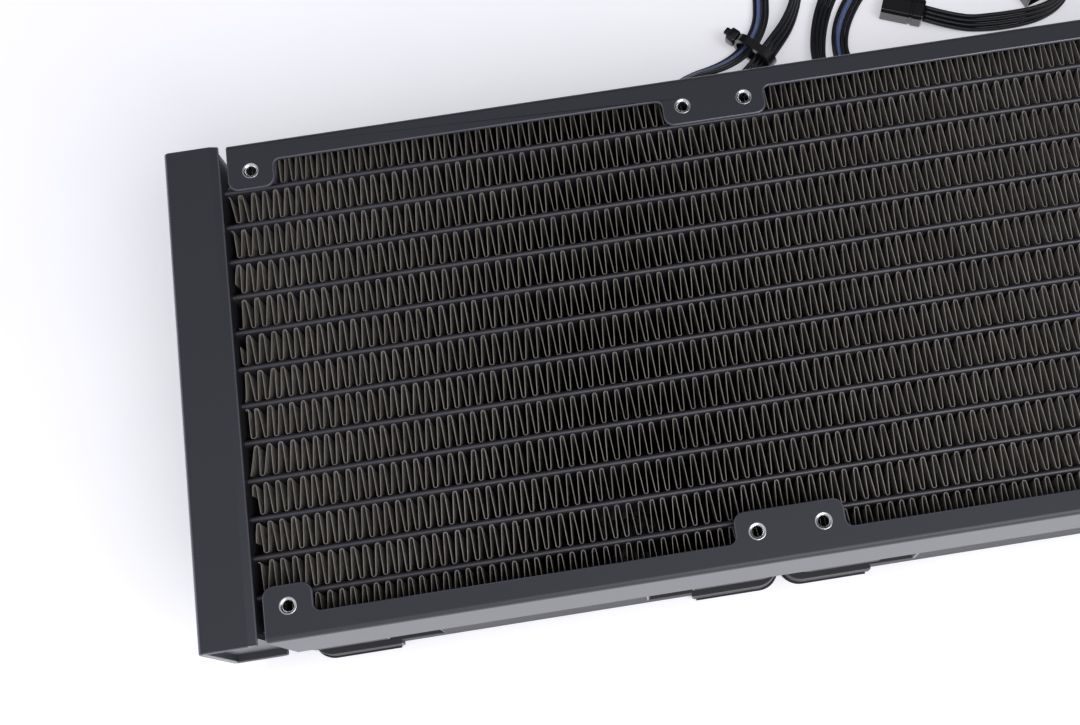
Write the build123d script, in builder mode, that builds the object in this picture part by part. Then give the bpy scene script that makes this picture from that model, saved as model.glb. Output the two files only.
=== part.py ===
"""Liquid cooling radiator: a flat-tube core between two end tanks, with three fans under it.

The X axis runs along the radiator, from the plain tank to the port tank. Y runs across it and Z up.
The origin is at the bottom centre of the radiator and its fans, so the fan pads stand on z = 0.
"""

from build123d import *
import math
import os

os.makedirs("parts", exist_ok=True)

# ---- driving dimensions, mm -------------------------------------------------
fan_count = 3
fan_size = 120.0  # side of one fan, and the spacing of the bays
fan_height = 25.0  # pads included
fan_hole_pitch = 105.0
radiator_height = 27.0
plain_tank_length = 13.2  # along X, past the first fan
port_tank_length = 20.8  # along X, past the last fan
tank_width = 120.6
tank_wall = 1.2
tank_edge_radius = 1.5
tank_shoulder_run = 1.9  # the bevel along the open side, next to the core
tank_shoulder_drop = 0.7
end_plate_inset = 1.8
header_thickness = 1.2
core_gap = 1.2  # from the mouth of a tank to the first fin

tube_count = 12
tube_pitch = 8.95
tube_thickness = 1.3
tube_into_tank = 2.6  # tube length inside the tank's mouth, through the header
core_recess = 3.25  # depth of the core's face below the rail's face
fin_pitch = 2.59
fin_sheet = 0.15
fin_crest = 0.25  # length of the flat crest that is brazed to a tube

rail_sheet = 1.0
rail_bend_radius = 1.2
rail_width = 120.0
rail_flange = 5.5
rail_end_gap = 1.9  # from the fan's edge to the end of the rail
tab_reach = 12.3
tab_past_hole = 5.0
tab_corner_radius = 2.6
tab_root_radius = 1.6
top_hole_radius = 1.25  # tapping size of an M3 thread
top_ring_radius = 2.0
top_ring_depth = 0.4
bottom_hole_radius = 1.55
collar_wall = 0.95
collar_drop = 2.0  # length of the collar below the sheet

port_spacing = 60.0
port_stem_radius = 6.0
port_fit = 0.02  # radial clearance of the stem in the tank wall
port_flange_radius = 9.0
port_flange_thickness = 2.0
port_neck_radius = 5.0  # in the valleys between the ridges
port_ridge_radius = 5.7
port_land = 4.0  # plain length next to the flange, as wide as the ridges
port_bore_radius = 3.75
port_out = 18.0  # how far the port stands out of the tank
port_ridges = 2
fill_plug_y = -50.0
fill_plug_radius = 4.0
fill_plug_head_radius = 6.5
fill_plug_head = 2.0
seal_thickness = 1.0

frame_inset = 0.4  # the fan frame stands this far inside its pads
frame_corner_radius = 5.5
frame_middle = 37.0  # half length of the set-back middle of each side
frame_middle_inset = 1.0
wall_middle = 25.0  # half length of the wall there, before it slopes in to the barrel
barrel_radius = 57.5
barrel_wall = 1.4
top_flange = 5.0
bottom_flange = 4.5
pad_thickness = 0.5
pad_leg = 22.0
motor_base_radius = 21.5
motor_base = 3.0
strut_width = 5.0
wire_strut_width = 9.0
strut_angles = (20.0, 140.0, 260.0)
wire_strut_angle = 45.0
bearing_seat_radius = 3.5
bearing_seat_wall = 1.0
bearing_length = 12.0
shaft_radius = 1.5
shaft_clearance = 0.03
rotor_radius = 20.5
rotor_wall = 1.3
rotor_lift = 2.1  # from the motor base to the rotor
rotor_below_top = 1.5
rotor_tip_gap = 0.8
blade_count = 9
blade_thickness = 1.6
blade_root_chord = 15.0
blade_tip_chord = 25.0
blade_root_pitch = 48.0
blade_tip_pitch = 30.0
magnet_thickness = 1.8
magnet_length = 12.0
air_gap = 0.4
board_thickness = 1.2
pole_count = 4
stator_length = 8.0
coil_thickness = 1.6

screw_radius = 1.45
screw_head_radius = 2.9
screw_head = 2.0
screw_hole_radius = 2.2

lead_width = 5.2
lead_spacing = 7.0
grommet_length = 16.0
grommet_depth = 2.4
grommet_from_corner = 9.5
plug_length = 12.0
plug_width = 10.2
plug_height = 5.2
tie_width = 2.5
tie_thickness = 1.2
tie_gap = 0.3

# ---- derived places ---------------------------------------------------------
fans_length = fan_count * fan_size
total_length = plain_tank_length + fans_length + port_tank_length + port_out
x_start = -total_length / 2
x_fans = x_start + plain_tank_length
x_fans_end = x_fans + fans_length
x_port_face = x_fans_end + port_tank_length
bays = [x_fans + fan_size * (i + 0.5) for i in range(fan_count)]
z_bottom = fan_height
z_top = fan_height + radiator_height
z_middle = (z_bottom + z_top) / 2
core_depth = radiator_height - 2 * core_recess
header_width = tank_width - 2 * (end_plate_inset + tank_wall)
header_height = radiator_height - 2 * tank_wall
fin_height = tube_pitch - tube_thickness
x_core = x_fans + core_gap
x_core_end = x_fans_end - core_gap
core_length = x_core_end - x_core
hole_inset = (fan_size - fan_hole_pitch) / 2
tube_rows = [(i - (tube_count - 1) / 2) * tube_pitch for i in range(tube_count)]
fin_rows = [(i - tube_count / 2) * tube_pitch for i in range(tube_count + 1)]


def save(part, name):
    """Label a finished part and write it as its own STEP file."""
    part.label = name
    export_step(part, f"parts/{name}.step", write_pcurves=False)


# ---- end tanks --------------------------------------------------------------
def tank(x_outer, x_inner, holes):
    """A folded shell, open towards the core and at both ends; holes are (y, radius) in its outer wall."""
    side = 1 if x_outer > x_inner else -1
    length = abs(x_outer - x_inner)
    with BuildPart() as shell:
        with BuildSketch(Plane.XZ.offset(-tank_width / 2)):
            with Locations(((x_outer + x_inner) / 2, z_middle)):
                Rectangle(length, radiator_height)
        extrude(amount=tank_width)
        long_edges = shell.edges().filter_by(Axis.Y)
        fillet(long_edges.filter_by(lambda e: abs(e.center().X - x_outer) < 0.01), tank_edge_radius)
        mouth = shell.faces().filter_by(Axis.X).sort_by(lambda f: abs(f.center().X - x_inner))[0]
        chamfer(mouth.edges().filter_by(Axis.Y), tank_shoulder_drop, tank_shoulder_run, reference=mouth)
        with BuildSketch(Plane.XZ.offset(-tank_width / 2)):
            with Locations(((x_outer + x_inner - side * tank_wall) / 2, z_middle)):
                Rectangle(length - tank_wall, radiator_height - 2 * tank_wall)
        extrude(amount=tank_width, mode=Mode.SUBTRACT)
        for y, radius in holes:
            with BuildSketch(Plane.YZ.offset(x_outer - side * tank_wall)):
                with Locations((y, z_middle)):
                    Circle(radius)
            extrude(amount=side * tank_wall, mode=Mode.SUBTRACT)
    return shell.part


port_rows = [-port_spacing / 2, port_spacing / 2]
port_holes = [(y, port_stem_radius + port_fit) for y in port_rows]
fill_hole = (fill_plug_y, fill_plug_radius + port_fit)
save(tank(x_start, x_fans, []), "plain_tank")
save(tank(x_port_face, x_fans_end, port_holes + [fill_hole]), "port_tank")

end_plate_height = radiator_height - 2 * tank_wall
with BuildPart() as tank_end_plates:
    for x_outer, x_inner in ((x_start, x_fans), (x_port_face, x_fans_end)):
        inner_wall = x_outer + math.copysign(tank_wall, x_inner - x_outer)
        for side in (-1, 1):
            y = side * (tank_width / 2 - end_plate_inset - tank_wall / 2)
            with Locations(((inner_wall + x_inner) / 2, y, z_middle)):
                Box(abs(x_inner - inner_wall), tank_wall, end_plate_height)
save(tank_end_plates.part, "tank_end_plates")

divider_length = port_tank_length - tank_wall - header_thickness
with BuildPart() as tank_divider:
    with Locations((x_fans_end + header_thickness + divider_length / 2, 0, z_middle)):
        Box(divider_length, tank_wall, end_plate_height)
save(tank_divider.part, "tank_divider")


def header(x_low):
    """A header plate in the mouth of a tank, with one slot for each flat tube."""
    with BuildPart() as plate:
        with Locations((x_low + header_thickness / 2, 0, z_middle)):
            Box(header_thickness, header_width, header_height)
        with BuildSketch(Plane.YZ.offset(x_low)):
            for y in tube_rows:
                with Locations((y, z_middle)):
                    SlotOverall(core_depth, tube_thickness, rotation=90)
        extrude(amount=header_thickness, mode=Mode.SUBTRACT)
    return plate.part


save(header(x_fans - header_thickness), "plain_header_plate")
save(header(x_fans_end), "port_header_plate")

# ---- coolant ports and fill plug --------------------------------------------
ridge_length = (port_out - port_flange_thickness - port_land) / port_ridges
with BuildPart() as coolant_ports:
    for y in port_rows:
        with BuildSketch(Plane.XZ.offset(-y)) as profile:
            with BuildLine():
                points = [
                    (x_port_face - 2 * tank_wall, z_middle + port_bore_radius),
                    (x_port_face - 2 * tank_wall, z_middle + port_stem_radius),
                    (x_port_face, z_middle + port_stem_radius),
                    (x_port_face, z_middle + port_flange_radius),
                    (x_port_face + port_flange_thickness, z_middle + port_flange_radius),
                    (x_port_face + port_flange_thickness, z_middle + port_ridge_radius),
                ]
                for ridge in range(port_ridges):
                    x = x_port_face + port_flange_thickness + port_land + ridge * ridge_length
                    points.append((x, z_middle + port_ridge_radius))
                    points.append((x, z_middle + port_neck_radius))
                    points.append((x + 0.3 * ridge_length, z_middle + port_neck_radius))
                    points.append((x + 0.3 * ridge_length, z_middle + port_ridge_radius))
                x_end = x_port_face + port_out
                points.append((x_end, z_middle + port_neck_radius))
                points.append((x_end, z_middle + port_bore_radius))
                Polyline(points, close=True)
            make_face()
        revolve(axis=Axis((x_port_face, y, z_middle), (1, 0, 0)))
save(coolant_ports.part, "coolant_ports")

with BuildPart() as fill_plug:
    with BuildSketch(Plane.YZ.offset(x_port_face - 2 * tank_wall)):
        with Locations((fill_plug_y, z_middle)):
            Circle(fill_plug_radius)
    extrude(amount=2 * tank_wall + seal_thickness)
    with BuildSketch(Plane.YZ.offset(x_port_face + seal_thickness)):
        with Locations((fill_plug_y, z_middle)):
            Circle(fill_plug_head_radius)
    extrude(amount=fill_plug_head)
    with BuildSketch(Plane.YZ.offset(x_port_face + seal_thickness + fill_plug_head)):
        with Locations((fill_plug_y, z_middle)):
            RegularPolygon(fill_plug_radius * 0.6, 6)
    extrude(amount=-fill_plug_head, mode=Mode.SUBTRACT)
save(fill_plug.part, "fill_plug")

with BuildPart() as fill_plug_seal:
    with BuildSketch(Plane.YZ.offset(x_port_face)):
        with Locations((fill_plug_y, z_middle)):
            Circle(fill_plug_head_radius - 0.5)
            Circle(fill_plug_radius + port_fit, mode=Mode.SUBTRACT)
    extrude(amount=seal_thickness)
save(fill_plug_seal.part, "fill_plug_seal")

# ---- core -------------------------------------------------------------------
tube_length = fans_length + 2 * tube_into_tank
tube_wall = 0.3
with BuildPart() as flat_tubes:
    with BuildSketch(Plane.YZ.offset(x_fans - tube_into_tank)):
        for y in tube_rows:
            with Locations((y, z_middle)):
                SlotOverall(core_depth, tube_thickness, rotation=90)
                SlotOverall(
                    core_depth - 2 * tube_wall,
                    tube_thickness - 2 * tube_wall,
                    rotation=90,
                    mode=Mode.SUBTRACT,
                )
    extrude(amount=tube_length)
save(flat_tubes.part, "flat_tubes")

# one fin strip is a zig-zag of thin sheet whose flat crests lie on the tubes
fin_periods = int(core_length / fin_pitch)
fin_depth = core_depth - tube_thickness  # clear of the rounded noses of the tubes


def fin_outline():
    """Points of one zig-zag strip: along its lower side, then back along its upper side."""
    start = x_core + (core_length - fin_periods * fin_pitch) / 2
    half = fin_height / 2
    lower = []
    upper = []
    for period in range(fin_periods):
        x = start + period * fin_pitch
        x_top = x + fin_pitch / 2
        crest = fin_crest / 2
        lower += [(x - crest, -half), (x + crest, -half), (x_top, half - fin_sheet)]
        upper += [(x, -half + fin_sheet), (x_top - crest, half), (x_top + crest, half)]
    lower += [(start + fin_periods * fin_pitch, -half)]
    upper += [(start + fin_periods * fin_pitch, -half + fin_sheet)]
    return lower + upper[::-1]


with BuildPart() as fin_strips:
    for y in fin_rows:
        with BuildSketch(Plane.XY.offset(z_middle - fin_depth / 2)):
            with BuildLine():
                Polyline([(px, y + py) for px, py in fin_outline()], close=True)
            make_face()
        extrude(amount=fin_depth)
save(fin_strips.part, "fin_strips")

side_plate_inner = fin_rows[-1] + fin_height / 2
side_plate_outer = rail_width / 2 - rail_sheet
with BuildPart() as core_side_plates:
    for side in (-1, 1):
        with Locations((0, side * (side_plate_inner + side_plate_outer) / 2, z_middle)):
            with Locations(((x_core + x_core_end) / 2, 0, 0)):
                Box(core_length, side_plate_outer - side_plate_inner, core_depth)
save(core_side_plates.part, "core_side_plates")

# ---- side rails -------------------------------------------------------------
rail_start = x_fans + rail_end_gap
rail_end = x_fans_end - rail_end_gap
hole_columns = [bay + s * fan_hole_pitch / 2 for bay in bays for s in (-1, 1)]
tab_spans = [(rail_start, hole_columns[0] + tab_past_hole + 0.6)]
for left, right in zip(hole_columns[1:-1:2], hole_columns[2:-1:2]):
    tab_spans.append((left - tab_past_hole, right + tab_past_hole))
tab_spans.append((hole_columns[-1] - tab_past_hole - 0.6, rail_end))


def flange_outline(side):
    """One flange of a rail with its tabs, in plan."""
    outer = side * rail_width / 2
    inner = side * (rail_width / 2 - rail_flange)
    reach = side * (rail_width / 2 - tab_reach)
    with BuildSketch(mode=Mode.PRIVATE) as flange:
        with Locations(((rail_start + rail_end) / 2, (outer + inner) / 2)):
            Rectangle(rail_end - rail_start, rail_flange)
        for left, right in tab_spans:
            with Locations(((left + right) / 2, (outer + reach) / 2)):
                Rectangle(right - left, tab_reach)
        corners = flange.vertices().filter_by(lambda v: abs(v.Y - reach) < 0.01)
        fillet(corners, tab_corner_radius)
        roots = flange.vertices().filter_by(
            lambda v: abs(v.Y - inner) < 0.01 and rail_start + 1 < v.X < rail_end - 1
        )
        fillet(roots, tab_root_radius)
    return flange.sketch


def rail(side):
    """A folded channel with tabs and tapped collars in both flanges."""
    web = side * (rail_width / 2 - rail_sheet / 2)
    row = side * fan_hole_pitch / 2
    holes = [(x, row) for x in hole_columns]
    outline = flange_outline(side)
    with BuildPart() as channel:
        with Locations(((rail_start + rail_end) / 2, web, z_middle)):
            Box(rail_end - rail_start, rail_sheet, radiator_height)
        for z in (z_bottom, z_top - rail_sheet):
            with BuildSketch(Plane.XY.offset(z)):
                add(outline)
            extrude(amount=rail_sheet)
        outer_y = side * rail_width / 2
        edges = channel.edges().filter_by(Axis.X)
        fillet(edges.filter_by(lambda e: abs(e.center().Y - outer_y) < 0.01), rail_bend_radius)
        for z, drop, radius in (
            (z_bottom + rail_sheet, collar_drop, bottom_hole_radius),
            (z_top - rail_sheet, -collar_drop, top_hole_radius),
        ):
            with BuildSketch(Plane.XY.offset(z)):
                with Locations(*holes):
                    Circle(radius + collar_wall)
            extrude(amount=drop)
            with BuildSketch(Plane.XY.offset(z + drop)):
                with Locations(*holes):
                    Circle(radius)
            extrude(amount=-math.copysign(collar_drop + rail_sheet, drop), mode=Mode.SUBTRACT)
        rims = channel.edges().filter_by(GeomType.CIRCLE).filter_by(
            lambda e: abs(e.center().Z - z_top) < 0.01 and abs(e.radius - top_hole_radius) < 0.01
        )
        top_face = channel.faces().filter_by(Axis.Z).sort_by(Axis.Z)[-1]
        chamfer(rims, top_ring_radius - top_hole_radius, top_ring_depth, reference=top_face)
    return channel.part


save(rail(-1), "front_rail")
save(rail(1), "rear_rail")

# ---- fans -------------------------------------------------------------------
z_frame = pad_thickness
base_top = z_frame + motor_base
rotor_low = base_top + rotor_lift
rotor_high = fan_height - rotor_below_top
cup_inner = rotor_radius - rotor_wall
bearing_top = base_top + bearing_length
seat_outer = bearing_seat_radius + bearing_seat_wall
frame_half = fan_size / 2 - frame_inset
recess_low = z_frame + bottom_flange
recess_high = fan_height - top_flange
grommet_x = fan_size / 2 - grommet_from_corner
slope_end = 38.2  # where the sloping wall meets the barrel
slope_depth = 45.0
recess_outline = [
    (wall_middle, frame_half),
    (slope_end, slope_depth),
    (slope_depth, slope_end),
    (frame_half, wall_middle),
    (fan_size, wall_middle),
    (fan_size, fan_size),
    (wall_middle, fan_size),
]


def fan_frame(bay):
    """Square frame with a round barrel, open corners, struts and a motor base."""
    with BuildPart() as frame:
        with BuildSketch(Plane.XY.offset(z_frame)):
            with Locations((bay, 0)):
                RectangleRounded(2 * frame_half, 2 * frame_half, frame_corner_radius)
        extrude(amount=fan_height - z_frame)
        middle = 2 * frame_middle
        for sx, sy in ((1, 0), (-1, 0), (0, 1), (0, -1)):
            reach = frame_half - frame_middle_inset / 2
            with Locations((bay + sx * reach, sy * reach, fan_height / 2)):
                Box(
                    frame_middle_inset if sx else middle,
                    frame_middle_inset if sy else middle,
                    2 * fan_height,
                    mode=Mode.SUBTRACT,
                )
        with BuildSketch(Plane.XY.offset(recess_low)):
            for sx in (-1, 1):
                for sy in (-1, 1):
                    with Locations((bay, 0)):
                        corner = [(sx * px, sy * py) for px, py in recess_outline]
                        Polygon(*corner[:: sx * sy], align=None)
            with Locations((bay, 0)):
                Circle(barrel_radius + barrel_wall, mode=Mode.SUBTRACT)
        extrude(amount=recess_high - recess_low, mode=Mode.SUBTRACT)
        with BuildSketch(Plane.XY.offset(z_frame)):
            with Locations((bay, 0)):
                Circle(barrel_radius)
        extrude(amount=fan_height, mode=Mode.SUBTRACT)
        spacing = fan_hole_pitch
        with BuildSketch(Plane.XY.offset(z_frame)):
            with Locations((bay, 0)), GridLocations(spacing, spacing, 2, 2):
                Circle(screw_hole_radius)
        extrude(amount=fan_height, mode=Mode.SUBTRACT)
        with BuildSketch(Plane.XY.offset(z_frame)):
            with Locations((bay, 0)), GridLocations(spacing, spacing, 2, 2):
                Circle(screw_head_radius + 0.3)
        extrude(amount=screw_head + 0.2, mode=Mode.SUBTRACT)
        with BuildSketch(Plane.XY.offset(z_frame)):
            with Locations((bay, 0)):
                Circle(motor_base_radius)
            for angle in strut_angles + (wire_strut_angle,):
                width = wire_strut_width if angle == wire_strut_angle else strut_width
                middle_radius = (motor_base_radius + barrel_radius) / 2
                dx = middle_radius * math.cos(math.radians(angle))
                dy = middle_radius * math.sin(math.radians(angle))
                with Locations((bay + dx, dy)):
                    Rectangle(barrel_radius - motor_base_radius + 2, width, rotation=angle)
        extrude(amount=motor_base)
        with BuildSketch(Plane.XY.offset(base_top)):
            with Locations((bay, 0)):
                Circle(seat_outer)
                Circle(bearing_seat_radius, mode=Mode.SUBTRACT)
        extrude(amount=bearing_length)
    return frame.part


def corner_pads(bay):
    """Four flat rubber corner pads that the fan stands on."""
    with BuildPart() as pads:
        with BuildSketch():
            with Locations((bay, 0)):
                RectangleRounded(fan_size, fan_size, frame_corner_radius)
                Circle(barrel_radius + barrel_wall, mode=Mode.SUBTRACT)
                Rectangle(fan_size - 2 * pad_leg, fan_size + 2, mode=Mode.SUBTRACT)
                Rectangle(fan_size + 2, fan_size - 2 * pad_leg, mode=Mode.SUBTRACT)
                with GridLocations(fan_hole_pitch, fan_hole_pitch, 2, 2):
                    Circle(screw_head_radius + 0.3, mode=Mode.SUBTRACT)
        extrude(amount=pad_thickness)
    return pads.part


def blade_section(bay, angle, radius, chord, pitch):
    """A thin rectangle square to the radius, tilted by its pitch."""
    turn = math.radians(angle)
    out = (math.cos(turn), math.sin(turn), 0)
    middle = (rotor_low + rotor_high) / 2
    place = Plane(
        origin=(bay + radius * out[0], radius * out[1], middle),
        x_dir=(-out[1], out[0], 0),
        z_dir=out,
    )
    with BuildSketch(place, mode=Mode.PRIVATE) as section:
        Rectangle(chord, blade_thickness, rotation=pitch)
    return section.sketch


def fan_rotor(bay):
    """Hub cup, shaft boss and twisted blades."""
    with BuildPart() as rotor:
        for i in range(blade_count):
            angle = 360.0 / blade_count * i
            root = blade_section(bay, angle, cup_inner + 0.3, blade_root_chord, blade_root_pitch)
            tip = blade_section(bay, angle, barrel_radius + 2, blade_tip_chord, blade_tip_pitch)
            loft([root.faces()[0], tip.faces()[0]])
        with Locations((bay, 0, (rotor_low + rotor_high) / 2)):
            Cylinder(barrel_radius - rotor_tip_gap, rotor_high - rotor_low - 0.4, mode=Mode.INTERSECT)
        with BuildSketch(Plane.XY.offset(rotor_low)):
            with Locations((bay, 0)):
                Circle(rotor_radius)
        extrude(amount=rotor_high - rotor_low)
        with BuildSketch(Plane.XY.offset(rotor_low)):
            with Locations((bay, 0)):
                Circle(cup_inner)
        extrude(amount=rotor_high - rotor_low - rotor_wall, mode=Mode.SUBTRACT)
        with BuildSketch(Plane.XY.offset(bearing_top + rotor_wall)):
            with Locations((bay, 0)):
                Circle(2 * shaft_radius)
        extrude(amount=rotor_high - bearing_top - rotor_wall)
        with BuildSketch(Plane.XY.offset(rotor_low)):
            with Locations((bay, 0)):
                Circle(shaft_radius)
        extrude(amount=rotor_high - rotor_low - rotor_wall / 2, mode=Mode.SUBTRACT)
    return rotor.part


def ring(bay, z, height, outer, inner):
    """A plain ring about the fan's axis."""
    with BuildPart() as piece:
        with BuildSketch(Plane.XY.offset(z)):
            with Locations((bay, 0)):
                Circle(outer)
                if inner:
                    Circle(inner, mode=Mode.SUBTRACT)
        extrude(amount=height)
    return piece.part


def stator(bay):
    """Laminated poles round the bearing seat, each with its coil."""
    pole_tip = cup_inner - magnet_thickness - air_gap
    z = rotor_low + 1.0
    core = ring(bay, z, stator_length, seat_outer + 2.0, seat_outer)
    with BuildPart() as poles:
        add(core)
        with BuildSketch(Plane.XY.offset(z)):
            with Locations((bay, 0)):
                Circle(pole_tip)
                Circle(pole_tip - 2.0, mode=Mode.SUBTRACT)
                for i in range(pole_count):
                    Rectangle(2 * pole_tip + 2, 1.6, rotation=45 + 90 * i, mode=Mode.SUBTRACT)
                    with Locations(Rot(0, 0, 90 * i)):
                        with Locations(((seat_outer + pole_tip) / 2, 0)):
                            Rectangle(pole_tip - seat_outer - 1.0, 3.0)
                            coil_run = pole_tip - seat_outer - 6.0
                            Rectangle(coil_run, 3.0 + 2 * coil_thickness)
        extrude(amount=stator_length)
    return poles.part


for number, bay in enumerate(bays, start=1):
    fan = f"fan_{number}"
    save(fan_frame(bay), f"{fan}_frame")
    save(corner_pads(bay), f"{fan}_corner_pads")
    save(fan_rotor(bay), f"{fan}_rotor")
    save(ring(bay, rotor_low, magnet_length, cup_inner, cup_inner - magnet_thickness), f"{fan}_magnet_ring")
    shaft_length = rotor_high - rotor_wall / 2 - base_top - 0.1
    save(ring(bay, base_top + 0.1, shaft_length, shaft_radius, 0), f"{fan}_shaft")
    sleeve_bore = shaft_radius + shaft_clearance
    save(ring(bay, base_top, bearing_length, bearing_seat_radius, sleeve_bore), f"{fan}_bearing_sleeve")
    save(ring(bay, base_top, board_thickness, cup_inner - 2.0, seat_outer), f"{fan}_circuit_board")
    save(stator(bay), f"{fan}_stator")

screw_low = z_frame + 0.1
with BuildPart() as fan_screws:
    for bay in bays:
        with BuildSketch(Plane.XY.offset(screw_low)):
            with Locations((bay, 0)), GridLocations(fan_hole_pitch, fan_hole_pitch, 2, 2):
                Circle(screw_head_radius)
        extrude(amount=screw_head)
        with BuildSketch(Plane.XY.offset(screw_low)):
            with Locations((bay, 0)), GridLocations(fan_hole_pitch, fan_hole_pitch, 2, 2):
                Circle(screw_radius)
        extrude(amount=z_bottom + rail_sheet + collar_drop - screw_low)
        with BuildSketch(Plane.XY.offset(screw_low)):
            with Locations((bay, 0)), GridLocations(fan_hole_pitch, fan_hole_pitch, 2, 2):
                RegularPolygon(screw_radius, 6)
        extrude(amount=screw_head * 0.6, mode=Mode.SUBTRACT)
save(fan_screws.part, "fan_screws")

# ---- fan leads --------------------------------------------------------------
lead_z = lead_width / 2 + 0.1
exit_y = frame_half + grommet_depth
grommet_centres = [bay + grommet_x for bay in bays]
with BuildPart() as lead_grommets:
    for x in grommet_centres:
        with BuildSketch(Plane.XY.offset(pad_thickness)):
            with Locations((x, frame_half + grommet_depth / 2)):
                Rectangle(grommet_length, grommet_depth)
        extrude(amount=lead_width)
save(lead_grommets.part, "lead_grommets")

tied_z = lead_width / 2 + tie_gap / 2 + tie_thickness + 0.05  # the tie keeps the lead off the table
first_exit = grommet_centres[0]
second_exit = grommet_centres[1]
third_exit = grommet_centres[2]
gap = lead_spacing / 2
lead_routes = {
    "fan_1_light_lead": [
        (first_exit - gap, exit_y), (-85.8, 72.5), (-81.6, 80.3), (-74.1, 85.2), (-63.2, 86.2, tied_z),
        (-55.5, 90.6, tied_z), (-50.4, 97.9, tied_z), (-48.8, 106.7), (-47.6, 118.0), (-43.5, 128.5),
        (-35.5, 136.5), (-25.0, 141.0), (-4.0, 143.0), (24.0, 141.5), (50.0, 136.0), (71.0, 131.0),
        (92.0, 128.0),
    ],
    "fan_1_motor_lead": [
        (first_exit + gap, exit_y), (-78.8, 68.0), (-76.3, 73.4), (-71.7, 77.3), (-60.1, 80.4, tied_z),
        (-54.0, 84.7, tied_z), (-48.6, 90.4, tied_z), (-42.6, 97.2), (-38.6, 105.2), (-36.8, 114.0),
        (-33.0, 122.0), (-26.5, 128.6), (-17.5, 132.8), (-2.0, 135.3), (22.0, 134.0), (42.0, 129.5),
        (58.0, 126.5),
    ],
    "fan_2_motor_lead": [
        (second_exit - gap, exit_y), (34.2, 67.2), (32.1, 71.8), (28.3, 75.1), (23.4, 76.5),
        (13.0, 75.0), (2.0, 70.8), (-8.5, 67.2), (-20.1, 65.9), (-30.5, 72.0), (-36.6, 82.4),
        (-34.5, 94.5), (-29.0, 106.0),
        (-20.5, 116.0), (-9.5, 124.0), (4.0, 128.0), (18.0, 127.0), (30.5, 120.5), (38.5, 110.0),
        (40.2, 101.5), (37.6, 93.6), (30.2, 88.8), (18.0, 88.3), (5.0, 90.2), (-4.0, 94.0),
    ],
    "fan_2_light_lead": [
        (second_exit + gap, exit_y), (41.2, 71.0), (37.2, 78.4), (29.8, 82.2), (18.5, 82.6), (5.5, 79.5),
        (-7.0, 74.8), (-17.0, 72.9), (-25.0, 76.6), (-29.6, 84.3), (-28.6, 93.0), (-23.5, 102.0),
        (-15.5, 110.3), (-5.5, 117.0), (5.5, 120.8), (14.5, 118.6), (21.5, 112.8), (24.5, 104.5),
    ],
    "fan_3_motor_lead": [
        (third_exit - gap, exit_y), (154.2, 67.2), (152.1, 71.8), (148.3, 75.1), (143.4, 76.5), (133.0, 75.0),
        (112.0, 73.2), (94.0, 72.4), (77.9, 72.9), (67.5, 79.0), (61.4, 89.4), (61.4, 101.6),
        (67.5, 112.0), (77.9, 118.1), (92.0, 118.6), (112.0, 117.0), (136.0, 113.0),
    ],
    "fan_3_light_lead": [
        (third_exit + gap, exit_y), (161.2, 71.5), (157.0, 79.0), (149.5, 83.0), (137.0, 83.2),
        (116.0, 80.8), (96.0, 79.4), (79.8, 79.7), (72.4, 83.9), (68.2, 91.3), (68.2, 99.7), (72.4, 107.1),
        (79.8, 111.3), (92.0, 111.8), (112.0, 110.0), (136.0, 106.0),
    ],
}


def lead_path(points):
    """Straight runs joined by the largest arcs that the runs allow."""
    corners = [Vector(*point[:2], point[2] if len(point) > 2 else lead_z) for point in points]
    radii = []
    for before, here, after in zip(corners, corners[1:], corners[2:]):
        run_in = here - before
        run_out = after - here
        turn = math.radians(run_in.get_angle(run_out))
        radii.append(0.45 * min(run_in.length, run_out.length) / math.tan(turn / 2))
    with BuildLine() as path:
        FilletPolyline(*corners, radius=radii)
    return path.wire(), radii


for name, route in lead_routes.items():
    line, radii = lead_path(route)
    with BuildPart() as lead:
        with BuildSketch(Plane(origin=line @ 0, z_dir=line % 0)):
            Circle(lead_width / 2)
        sweep(path=line)
    save(lead.part, name)
    expected = math.pi * (lead_width / 2) ** 2 * line.length
    print(name, "length", round(line.length, 1), "volume ratio", round(lead.part.volume / expected, 4))
    print("  smallest radius", round(min(radii), 1), "all", [round(r) for r in radii])
    end = line @ 1
    heading = line % 1
    with BuildPart() as plug:
        with BuildSketch(Plane(origin=end, x_dir=(-heading.Y, heading.X, 0), z_dir=heading)):
            Rectangle(plug_width * 0.62 if "light" in name else plug_width * 0.66, plug_height)
        extrude(amount=plug_length)
    save(plug.part, f"{name}_plug")

# the tie round both leads of the first fan, where they rise past the rail
tie_leads = 5.6  # between the middles of the two leads
tie_inner = lead_width / 2 + tie_gap / 2
tie_plane = Plane(origin=(-53.8, 89.0, tied_z), x_dir=(0.7, -0.714, 0), z_dir=(0.714, 0.7, 0))
with BuildPart() as cable_tie:
    with BuildSketch(tie_plane):
        outer_height = 2 * (tie_inner + tie_thickness)
        SlotOverall(tie_leads + outer_height, outer_height)
        SlotOverall(tie_leads + 2 * tie_inner, 2 * tie_inner, mode=Mode.SUBTRACT)
    extrude(amount=tie_width / 2, both=True)
save(cable_tie.part, "cable_tie")
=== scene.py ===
"""Looks of the liquid cooling radiator: coated metal, louvred fins, fans and flat leads.

Lengths are in metres, in the part's own frame: X along the radiator, Z up.
"""

from __future__ import annotations

import itertools
import logging
import math
from dataclasses import dataclass, field
from enum import Enum

import bmesh
import bpy
import numpy as np
from mathutils import Matrix, Vector

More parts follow.
